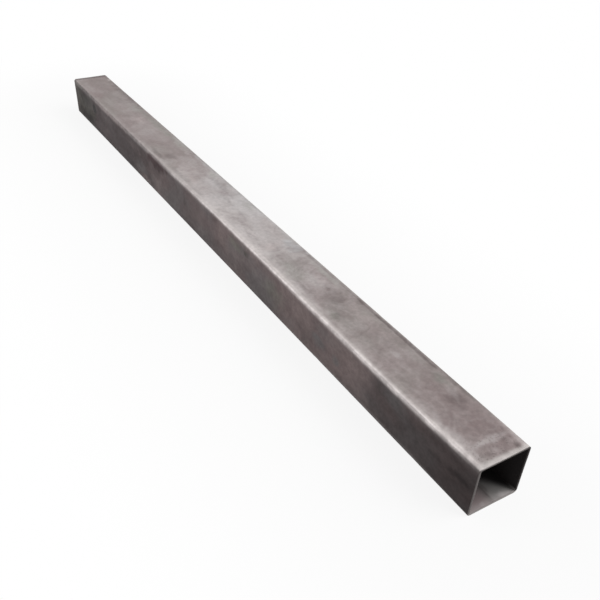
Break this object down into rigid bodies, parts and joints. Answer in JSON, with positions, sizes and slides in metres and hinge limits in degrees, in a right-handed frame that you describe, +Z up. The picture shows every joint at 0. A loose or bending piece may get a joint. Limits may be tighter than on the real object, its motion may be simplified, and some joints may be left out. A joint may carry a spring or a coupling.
{
  "type": "square metal tube",
  "caption": "Straight length of square steel tube with rounded long corners, sawn square and open at the ends.",
  "frame": {"origin": "centre of the tube's footprint on the floor, midway between the cut ends", "axes": "+X along the tube towards one cut end, +Z up from the lower wall to the upper wall, +Y to the right of someone facing the +X end"},
  "size_m": [0.9144, 0.0508, 0.0508],
  "materials": {
    "mill_steel": "bare mill finish, dull and cloudy, bright along one rubbed corner"
  },
  "bodies": {
    "root": {"square_tube": "mill_steel"}
  },
  "joints": []
}
